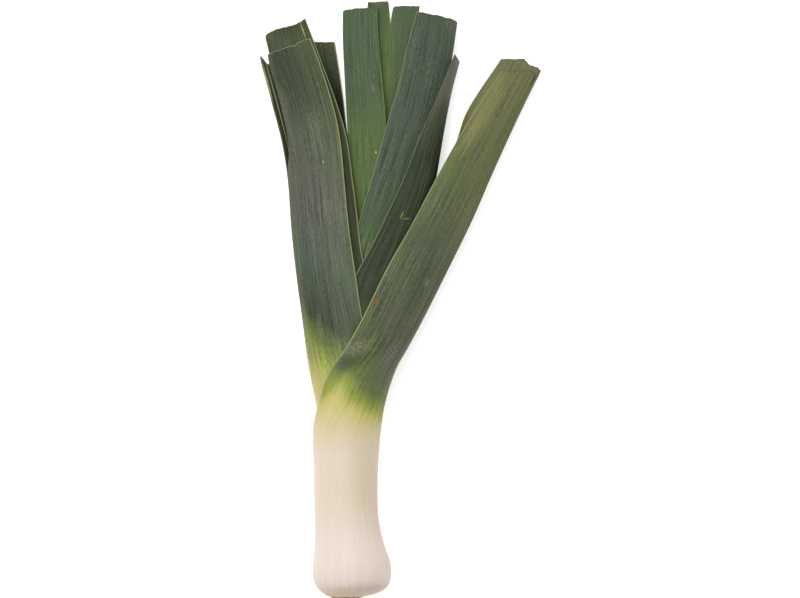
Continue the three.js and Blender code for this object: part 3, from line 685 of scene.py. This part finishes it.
def corky_root(name, dark, pale):
    """Root plate of a leek, trimmed and dried: corky, tan and rough, the root stubs paler."""
    material, tree = new_material(name)
    place = add_node(tree, "TexCoord", out="Object")
    stub = add_node(tree, "Attribute", out="Fac", attribute_name="stub")
    # Cork cells in clusters about 1.4 mm across, with fine fibres of 0.3 mm.
    clusters = add_node(tree, "TexNoise", {"Vector": place, "Scale": 700.0, "Detail": 5.0})
    cork = add_node(
        tree,
        "ValToRGB",
        {0: clusters},
        stops=[(0.3, "#5f4630"), (0.45, dark), (0.6, pale), (0.75, "#d9c6a6")],
    )
    fibre = add_node(tree, "TexNoise", {"Vector": place, "Scale": 2600.0, "Detail": 2.0})
    root = add_node(
        tree,
        "ValToRGB",
        {0: fibre},
        stops=[(0.3, "#a5865f"), (0.5, "#cdb48e"), (0.7, "#e2d3b8")],
    )
    colour = add_node(tree, "Mix", {0: stub, 6: cork, 7: root}, 2, data_type="RGBA")
    relief = add_node(tree, "Math", {0: clusters, 1: fibre}, operation="ADD")
    bump = add_node(tree, "Bump", {"Height": relief, "Strength": 0.9, "Distance": 0.0004})
    roughness = add_node(tree, "MapRange", {0: clusters, 1: 0.3, 2: 0.7, 3: 0.7, 4: 0.9})
    surface = add_node(
        tree,
        "BsdfPrincipled",
        {"Base Color": colour, "Roughness": roughness, "Normal": bump, "IOR": 1.4},
    )
    add_node(tree, "OutputMaterial", {0: surface})
    return material


def lit_table(name, colour, glow):
    """Sheet of white acrylic, cast and matt, lit from below: even and almost without shadows."""
    material, tree = new_material(name)
    surface = add_node(
        tree,
        "BsdfPrincipled",
        {
            "Base Color": (*colour, 1.0),
            "Roughness": 0.9,
            "Emission Color": (1.0, 1.0, 1.0, 1.0),
            "Emission Strength": glow,
        },
    )
    add_node(tree, "OutputMaterial", {0: surface})
    return material


# ---- modelling --------------------------------------------------------------------------------


def start_fresh():
    if bpy.context.object and bpy.context.object.mode != "OBJECT":
        bpy.ops.object.mode_set(mode="OBJECT")
    bpy.ops.object.select_all(action="DESELECT")


def vertex_places(mesh):
    places = np.zeros(len(mesh.vertices) * 3)
    mesh.vertices.foreach_get("co", places)
    return places.reshape(-1, 3)


def place_vertices(mesh, points):
    mesh.vertices.foreach_set("co", ((points + TO_FRAME) * MM).ravel())
    mesh.update()


def finish_piece(piece, node, material):
    piece.data.materials.clear()
    piece.data.materials.append(material)
    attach(piece, "root")
    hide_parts(node)


def two_skins(name, columns, rows, sheet, gap_column=None):
    """A leaf from one flat grid: bent into its outer skin, its meeting edges merged, then
    extruded to make its inner skin. sheet(column, row, inner) gives points, map and values."""
    start_fresh()
    bpy.ops.mesh.primitive_grid_add(x_subdivisions=columns, y_subdivisions=rows, size=2)
    piece = bpy.context.object
    piece.name = piece.data.name = name
    mesh = piece.data
    flat = vertex_places(mesh)
    column = np.rint((flat[:, 0] + 1) / 2 * columns).astype(int)
    row = np.rint((flat[:, 1] + 1) / 2 * rows).astype(int)
    outer, unwrapped, values = sheet(column, row, False)
    uv = mesh.uv_layers[0]
    uv.name = "Leaf"
    corner = np.zeros(len(mesh.loops), np.int32)
    mesh.loops.foreach_get("vertex_index", corner)
    uv.data.foreach_set("uv", unwrapped[corner].ravel())
    values.update(column=column, row=row, inner=0 * column)
    for attribute, level in values.items():
        layer = mesh.attributes.new(attribute, "FLOAT", "POINT")
        layer.data.foreach_set("value", np.asarray(level, float))
    place_vertices(mesh, outer)
    if gap_column is not None:
        for face in mesh.polygons:
            ends = column[list(face.vertices)]
            face.select = ends.min() == gap_column and ends.max() == gap_column + 1
        bpy.ops.object.mode_set(mode="EDIT")
        bpy.ops.mesh.select_mode(type="FACE")
        bpy.ops.mesh.delete(type="FACE")
    bpy.ops.object.mode_set(mode="EDIT")
    bpy.ops.mesh.select_mode(type="FACE")
    bpy.ops.mesh.select_all(action="SELECT")
    bpy.ops.mesh.remove_doubles(threshold=1e-6)
    bpy.ops.mesh.extrude_region_move()
    bpy.ops.object.mode_set(mode="OBJECT")
    count = len(mesh.vertices)
    inner = np.zeros(count, bool)
    mesh.vertices.foreach_get("select", inner)
    stored = {}
    for attribute in ("column", "row"):
        stored[attribute] = np.zeros(count, np.float32)
        mesh.attributes[attribute].data.foreach_get("value", stored[attribute])
    column, row = (np.rint(stored[key]).astype(int) for key in ("column", "row"))
    points = vertex_places(mesh) / MM - TO_FRAME
    points[inner] = sheet(column[inner], row[inner], True)[0]
    place_vertices(mesh, points)
    mesh.attributes["inner"].data.foreach_set("value", inner.astype(float))
    mesh.attributes.remove(mesh.attributes["column"])
    mesh.attributes.remove(mesh.attributes["row"])
    bpy.ops.object.mode_set(mode="EDIT")
    bpy.ops.mesh.select_all(action="SELECT")
    bpy.ops.mesh.remove_doubles(threshold=1e-6)
    bpy.ops.mesh.normals_make_consistent(inside=False)
    bpy.ops.object.mode_set(mode="OBJECT")
    bpy.ops.object.shade_smooth_by_angle(angle=math.radians(40))
    return piece


def rows_of(mouth, blade_end, fine):
    """Stage (0 bulb, 1 tube, 2 blade) and value of each row: bulb step, y, or share of blade."""
    bulb = np.linspace(0, len(BULB_SKIN) - 1, 40 if fine else 11)
    tube = np.linspace(SHEATH_TOP, mouth, max(2, int((mouth - SHEATH_TOP) / (2 if fine else 8)) + 1))[1:]
    blade = np.linspace(0, 1, int((blade_end - mouth) / BLADE_ROW_STEP) + 1)[1:]
    stage = np.concatenate([0 * bulb, 0 * tube + 1, 0 * blade + 2])
    return stage.astype(int), np.concatenate([bulb, tube, blade])


def jagged(place, teeth, seed):
    """Uneven teeth between -1 and 1: that many for each step of 1 in place."""
    spot = place * teeth + seed * 7.3
    cell = np.floor(spot)
    low, high = (np.sin((cell + k) * 127.1 + seed) * 4375.85 % 2 - 1 for k in (0, 1))
    return low + (high - low) * (spot - cell)


def trimmed_end(ends, across, seed, nick):
    """y of the cut end at each place across, with the uneven nicks of a blunt knife."""
    places, ys = zip(*ends)
    rough = 0.5 * jagged(across, 40, seed) + jagged(across, 11, seed + 3) ** 3
    return np.interp(across, places, ys) + nick * rough


def ease_to_end(start, share, end_y, level_end):
    """y along the blade: level rows that bend to the cut only near the end."""
    y = start + (level_end - start) * share
    return y + (end_y - level_end) * smoothstep(level_end - 40, level_end, y)


def sink(across, y, seed, depth):
    """How far the outer face of a blade sinks between its ribs and in its shallow waves, mm."""
    ribs = 0.5 + 0.5 * np.sin(across * 52 + 0.7 * np.sin(y / 31 + seed) + seed)
    waves = 0.5 + 0.5 * np.sin(across * 6.1 + y / 13 + seed) * np.sin(y / 29 + 2 * seed)
    return (0.15 * ribs + waves) * depth * (1 - smoothstep(0.8, 0.98, np.abs(across)))


def pleats(across, y):
    """How far the bulb's skin is drawn in by its pleats just round the root plate, mm."""
    folds = np.sin(across * 47 + 1.3 * np.sin(across * 9)) + 0.6 * np.sin(across * 81 + 2)
    return 0.45 * np.maximum(folds, 0) * (1 - smoothstep(0.5, 9, y))


def ripeness(finish, across, y):
    """Where a point is on the leaf's colour ramp: its y, moved where its green starts early or
    late, and less so down in the white."""
    places, shifts = zip(*finish["start"])
    shift = np.interp(np.abs(across), places, shifts)
    fade = np.where(shift > 0, smoothstep(92, 108, y), np.clip((y - 100) / 26, 0, 1.1))
    return (y + shift * fade) / LENGTH - 0.008


def folded_leaf(node, half_columns, sizes):
    leaf, finish = LEAVES[node], FINISHES[node]
    guides = blade_guides(leaf)
    level_end = float(np.interp(-0.5, *zip(*leaf["ends"])))
    stage, value = rows_of(leaf["mouth"], level_end, leaf["ring"] == 0)
    split = guide(leaf["split"]) if "split" in leaf else lambda y: 0 * y
    seed, nick = finish["seed"], sizes.nick_depth / MM
    depth = sizes.wave_depth / MM

    def sheet(column, row, inner):
        # One column more than the two halves need: the keel is there twice, so that the upper
        # half can part from it.
        steps = np.where(column <= half_columns, column - half_columns, column - half_columns - 1)
        across = steps / half_columns
        kind, level = stage[row], value[row]

        def to_cut(across):
            end_y = trimmed_end(leaf["ends"], across, seed, nick)
            return end_y, ease_to_end(leaf["mouth"], np.where(kind == 2, level, 0), end_y, level_end)

        y = to_cut(across)[1]
        gap = np.where(kind == 2, np.maximum(split(y), 0), 0)
        across = np.where(column <= half_columns, -(gap + (1 - gap) * -across), across)
        end_y, y = to_cut(across)
        ring = leaf["ring"] + (float(leaf_share(0)) if inner else 0.0)
        bulb_y, bulb_radius = bulb_row(np.where(kind == 0, level, 0), ring)
        y = np.where(kind == 0, bulb_y, np.where(kind == 1, level, y))
        if ring == 0:
            bulb_radius = bulb_radius - pleats(across, y)
        ring = leaf["ring"] + (leaf_share(y) if inner else 0)
        radius = np.where(kind == 0, bulb_radius, sheath_radius(ring, y))
        points = tube_points(leaf["side"], radius, y, across)
        blade = blade_points(leaf, guides, y, across, inner)
        if not inner:
            opened = smoothstep(leaf["mouth"] + 10, leaf["mouth"] + 60, y)
            sunk = sink(across, y, seed, depth) * opened
            blade[:, 2] -= np.where(across <= 0, sunk, -sunk) * np.sin(np.pi * np.abs(across))
        points = np.where((kind == 2)[:, None], blade, points)
        unwrapped = np.stack([across * MAP_HALF_WIDTH, y], -1)
        values = {"ripe": ripeness(finish, across, y), "to_end": end_y - y, "other": across > 0}
        return points, unwrapped, values

    piece = two_skins("leek_" + node, 2 * half_columns + 1, len(stage) - 1, sheet, half_columns)
    finish_piece(piece, node, leek_leaf("fresh leek leaf " + node[5:], finish))
    return piece


class LeekSizes(bpy.types.PropertyGroup):
    """Sizes of the modelled leek that are not fixed by its CAD frame"""

    outer_columns: bpy.props.IntProperty(
        name="Columns of the outermost leaf",
        description="Faces across half of it",
        default=76,
        min=16,
        max=96,
    )
    inner_columns: bpy.props.IntProperty(
        name="Columns of the inner leaves",
        description="Faces across half of each",
        default=60,
        min=16,
        max=96,
    )
    nick_depth: bpy.props.FloatProperty(
        name="Nick depth",
        description="How uneven the cut ends of the leaves are",
        default=0.0004,
        min=0.0,
        precision=5,
        subtype="DISTANCE",
        unit="LENGTH",
    )
    wave_depth: bpy.props.FloatProperty(
        name="Wave depth",
        description="How deep the shallow waves in the blades are",
        default=0.00022,
        min=0.0,
        precision=5,
        subtype="DISTANCE",
        unit="LENGTH",
    )
    stub_radius: bpy.props.FloatProperty(
        name="Root radius",
        description="Radius of each trimmed root",
        default=0.0008,
        min=0.0003,
        precision=5,
        subtype="DISTANCE",
        unit="LENGTH",
    )
    stub_count: bpy.props.IntProperty(
        name="Roots", description="How many trimmed roots there are", default=34, min=1, max=80
    )


class LeekColours(bpy.types.PropertyGroup):
    """Colours of the root plate and the stage"""

    cork_dark: bpy.props.FloatVectorProperty(
        name="Dark cork",
        description="Darker colour of the root plate",
        subtype="COLOR",
        size=4,
        default=linear("#a0805c"),
    )
    cork_pale: bpy.props.FloatVectorProperty(
        name="Pale cork",
        description="Paler colour of the root plate",
        subtype="COLOR",
        size=4,
        default=linear("#c8ad88"),
    )
    table: bpy.props.FloatVectorProperty(
        name="Table", description="Colour of the lit table", subtype="COLOR", default=(0.85, 0.85, 0.85)
    )


class LeekLight(bpy.types.PropertyGroup):
    """Strengths of the studio light"""

    key_power: bpy.props.FloatProperty(
        name="Key", description="Power of the soft light at the upper left", default=26.0, unit="POWER"
    )
    fill_power: bpy.props.FloatProperty(
        name="Fill", description="Power of the soft light at the right", default=2.5, unit="POWER"
    )
    room: bpy.props.FloatProperty(
        name="Room", description="Strength of the even white light all round", default=0.36
    )
    glow: bpy.props.FloatProperty(
        name="Table glow", description="Strength of the light that comes up through the table", default=0.6
    )


class LEEK_OT_outer_leaf(bpy.types.Operator):
    """Models the outermost leaf: bulb skin, shank and the long leaf that leans right"""

    bl_idname = "leek.outer_leaf"
    bl_label = "Outermost leaf"

    def execute(self, context):
        sizes = context.scene.leek_sizes
        folded_leaf("leaf_1_outermost", sizes.outer_columns, sizes)
        return {"FINISHED"}


class LEEK_OT_inner_leaves(bpy.types.Operator):
    """Models the five leaves that grow inside the outermost one"""

    bl_idname = "leek.inner_leaves"
    bl_label = "Inner leaves"

    def execute(self, context):
        sizes = context.scene.leek_sizes
        for node in list(LEAVES)[1:]:
            folded_leaf(node, sizes.inner_columns, sizes)
        return {"FINISHED"}


class LEEK_OT_heart_leaf(bpy.types.Operator):
    """Models the innermost leaf, a solid heart that opens into a trough with a notched end"""

    bl_idname = "leek.heart_leaf"
    bl_label = "Heart leaf"

    def execute(self, context):
        half_columns = 44
        level_end = 355.0
        finish = FINISHES["leaf_7_heart"]
        nick = context.scene.leek_sizes.nick_depth / MM
        stage, value = rows_of(HEART_MOUTH, level_end, False)

        def sheet(column, row, inner):
            across = (column - half_columns) / half_columns
            kind, level = stage[row], value[row]
            end_y = trimmed_end(HEART_ENDS, across, 5.0, nick)
            y = ease_to_end(HEART_MOUTH, np.where(kind == 2, level, 0), end_y, level_end)
            bulb_y, bulb_radius = bulb_row(np.where(kind == 0, level, 0), LEAF_RINGS)
            y = np.where(kind == 0, bulb_y, np.where(kind == 1, level, y))
            radius = np.where(kind == 0, bulb_radius, heart_radius(y))
            turn = np.pi * (1 + across) / 2
            side = -1 if inner else 1
            x = shank_x(y) - radius * np.cos(turn)
            z = shank_z(y) + side * radius * np.sin(turn)
            points = np.stack([x, y, z], -1)
            points = np.where((kind == 2)[:, None], heart_points(y, across, not inner), points)
            values = {"ripe": ripeness(finish, across, y), "to_end": end_y - y, "other": across > 0}
            return points, np.stack([across * MAP_HALF_WIDTH, y], -1), values

        piece = two_skins("leek_leaf_7_heart", 2 * half_columns, len(stage) - 1, sheet)
        finish_piece(piece, "leaf_7_heart", leek_leaf("fresh leek leaf 7 heart", finish))
        return {"FINISHED"}


class LEEK_OT_root_plate(bpy.types.Operator):
    """Models the root plate: a corky cone inside the bulb and the stubs of its trimmed roots"""

    bl_idname = "leek.root_plate"
    bl_label = "Root plate"

    def execute(self, context):
        sizes, colours = context.scene.leek_sizes, context.scene.leek_colours
        start_fresh()
        bpy.ops.mesh.primitive_circle_add(
            vertices=72, radius=0.006, fill_type="NGON", rotation=(math.radians(90), 0, 0)
        )
        plate = context.object
        plate.name = plate.data.name = "leek_root_plate"
        bpy.ops.object.transform_apply(location=True, rotation=True, scale=True)
        bpy.ops.object.mode_set(mode="EDIT")
        bpy.ops.mesh.select_all(action="SELECT")
        # The disc grows up into the bulb ring by ring: y in mm and radius in mm of each.
        radius, y = 6.0, 0.0
        for next_y, next_radius in (
            (0.1, 7.5), (0.35, 9), (0.9, 10), (1.5, 10.15), (3.1, 9.4), (5.3, 8.45), (7.6, 7.45),
            (9.9, 6.45), (12.1, 5.55), (14.1, 4.65),
        ):
            bpy.ops.mesh.extrude_region_move(TRANSFORM_OT_translate={"value": (0, (next_y - y) * MM, 0)})
            share = next_radius / radius
            bpy.ops.transform.resize(value=(share, 1, share), center_override=(0, next_y * MM, 0))
            radius, y = next_radius, next_y
        bpy.ops.mesh.select_all(action="SELECT")
        bpy.ops.mesh.normals_make_consistent(inside=False)
        bpy.ops.object.mode_set(mode="OBJECT")
        # The flat underside gets rings of its own, so that it can be rough.
        for face in plate.data.polygons:
            face.select = face.normal.y < -0.99 and face.area > 5e-5
        bpy.ops.object.mode_set(mode="EDIT")
        bpy.ops.mesh.select_mode(type="FACE")
        for width in (0.0012, 0.0012, 0.0011, 0.001):
            bpy.ops.mesh.inset(thickness=width, depth=0)
        bpy.ops.mesh.poke()
        bpy.ops.object.mode_set(mode="OBJECT")
        stub_layer = plate.data.attributes.new("stub", "FLOAT", "POINT")
        stub_layer.data.foreach_set("value", np.zeros(len(plate.data.vertices)))
        stubs = []
        for i in range(sizes.stub_count):
            turn = 2.4 * i
            out = 0.9 + 7.3 * math.sqrt(i / sizes.stub_count)
            length = 1.5 + 0.7 * math.sin(2.3 * i)
            bpy.ops.object.select_all(action="DESELECT")
            bpy.ops.mesh.primitive_cylinder_add(
                vertices=14,
                radius=sizes.stub_radius * (1 + 0.25 * math.sin(3.7 * i)),
                depth=2 * length * MM,
                location=(out * math.cos(turn) * MM, 0.3 * MM, out * math.sin(turn) * MM),
                rotation=(math.radians(90) + 0.3 * math.sin(turn), 0, 0.3 * math.cos(turn)),
            )
            stub = context.object
            stub.name = stub.data.name = f"root_stub_{i + 1}"
            bpy.ops.object.mode_set(mode="EDIT")
            bpy.ops.mesh.select_mode(type="FACE")
            bpy.ops.mesh.select_all(action="SELECT")
            bpy.ops.mesh.subdivide(number_cuts=1)
            bpy.ops.object.mode_set(mode="OBJECT")
            bevel = stub.modifiers.new("worn rim", "BEVEL")
            bevel.width, bevel.segments, bevel.limit_method = 0.00018, 2, "ANGLE"
            bpy.ops.object.modifier_apply(modifier=bevel.name)
            layer = stub.data.attributes.new("stub", "FLOAT", "POINT")
            layer.data.foreach_set("value", np.ones(len(stub.data.vertices)))
            stubs.append(stub)
        bpy.ops.object.select_all(action="DESELECT")
        for part in (plate, *stubs):
            part.select_set(True)
        context.view_layer.objects.active = plate
        bpy.ops.object.join()
        # Cork is never smooth: each point moves a little, and the whole follows the shank.
        mesh = plate.data
        points = vertex_places(mesh) / MM
        spin = np.arctan2(points[:, 2], points[:, 0])
        lumps = np.sin(points @ (4.1, 1.7, 2.3)) * np.sin(points @ (-1.9, 2.9, 3.7) + 1)
        lumps = lumps + 0.5 * np.sin(9 * spin)
        low = 1 - smoothstep(0.8, 2.5, points[:, 1])
        points[:, 1] += 0.16 * lumps * low
        points[:, 0] += shank_x(points[:, 1])
        points[:, 2] += shank_z(points[:, 1])
        place_vertices(mesh, points)
        bpy.ops.object.shade_smooth_by_angle(angle=math.radians(50))
        cork = corky_root("dried leek root plate", colours.cork_dark, colours.cork_pale)
        finish_piece(plate, "root_plate", cork)
        return {"FINISHED"}


class LEEK_OT_stage(bpy.types.Operator):
    """Lays out the lit table, the soft studio light and the camera above the leek"""

    bl_idname = "leek.stage"
    bl_label = "Stage"

    def execute(self, context):
        scene = context.scene
        light, colours = scene.leek_light, scene.leek_colours
        start_fresh()
        bpy.ops.mesh.primitive_plane_add(size=8.0, location=(0, 0, -0.0002))
        floor = context.object
        floor.name = "floor"
        floor.data.materials.append(lit_table("lit white table", colours.table, light.glow))
        world = bpy.data.worlds.new("studio")
        world.use_nodes = True
        world.node_tree.nodes["Background"].inputs[0].default_value = (1, 1, 1, 1)
        world.node_tree.nodes["Background"].inputs[1].default_value = light.room
        scene.world = world
        for name, place, size, power in (
            ("key", (-0.5, 0.6, 1.6), 1.5, light.key_power),
            ("fill", (1.0, -0.4, 1.4), 1.2, light.fill_power),
        ):
            bpy.ops.object.light_add(type="AREA", location=place)
            lamp = context.object
            lamp.name = name
            lamp.data.size = size
            lamp.data.energy = power
            lamp.rotation_euler = (-Vector(place)).to_track_quat("-Z", "Y").to_euler()
        # Far off with a long lens, so that high and low leaves keep their places.
        bpy.ops.object.camera_add(location=CAMERA_PLACE, rotation=(0, 0, 0))
        camera = context.object
        camera.data.lens = 360
        camera.data.sensor_width = 36
        scene.camera = camera
        scene.view_settings.view_transform = "Standard"
        return {"FINISHED"}


OPERATORS = (
    LEEK_OT_stage,
    LEEK_OT_root_plate,
    LEEK_OT_outer_leaf,
    LEEK_OT_inner_leaves,
    LEEK_OT_heart_leaf,
)


class LEEK_PT_panel(bpy.types.Panel):
    """Lists the leek's settings and the pieces that it is made of"""

    bl_idname = "LEEK_PT_panel"
    bl_label = "Leek"
    bl_space_type = "VIEW_3D"
    bl_region_type = "UI"
    bl_category = "Leek"

    def draw(self, context):
        layout = self.layout
        for group in GROUPS:
            settings = getattr(context.scene, group)
            for setting in settings.bl_rna.properties:
                if not setting.is_readonly and setting.identifier != "name":
                    layout.prop(settings, setting.identifier)
        for operator in OPERATORS:
            layout.operator(operator.bl_idname)


GROUPS = {"leek_sizes": LeekSizes, "leek_colours": LeekColours, "leek_light": LeekLight}
CLASSES = (*GROUPS.values(), *OPERATORS, LEEK_PT_panel)


def register():
    for cls in CLASSES:
        bpy.utils.register_class(cls)
    for group, cls in GROUPS.items():
        setattr(bpy.types.Scene, group, bpy.props.PointerProperty(type=cls))


def unregister():
    for group in GROUPS:
        delattr(bpy.types.Scene, group)
    for cls in reversed(CLASSES):
        bpy.utils.unregister_class(cls)


def main():
    register()
    bpy.ops.leek.stage()
    bpy.ops.leek.root_plate()
    bpy.ops.leek.outer_leaf()
    bpy.ops.leek.inner_leaves()
    bpy.ops.leek.heart_leaf()


if __name__ == "__main__":
    main()
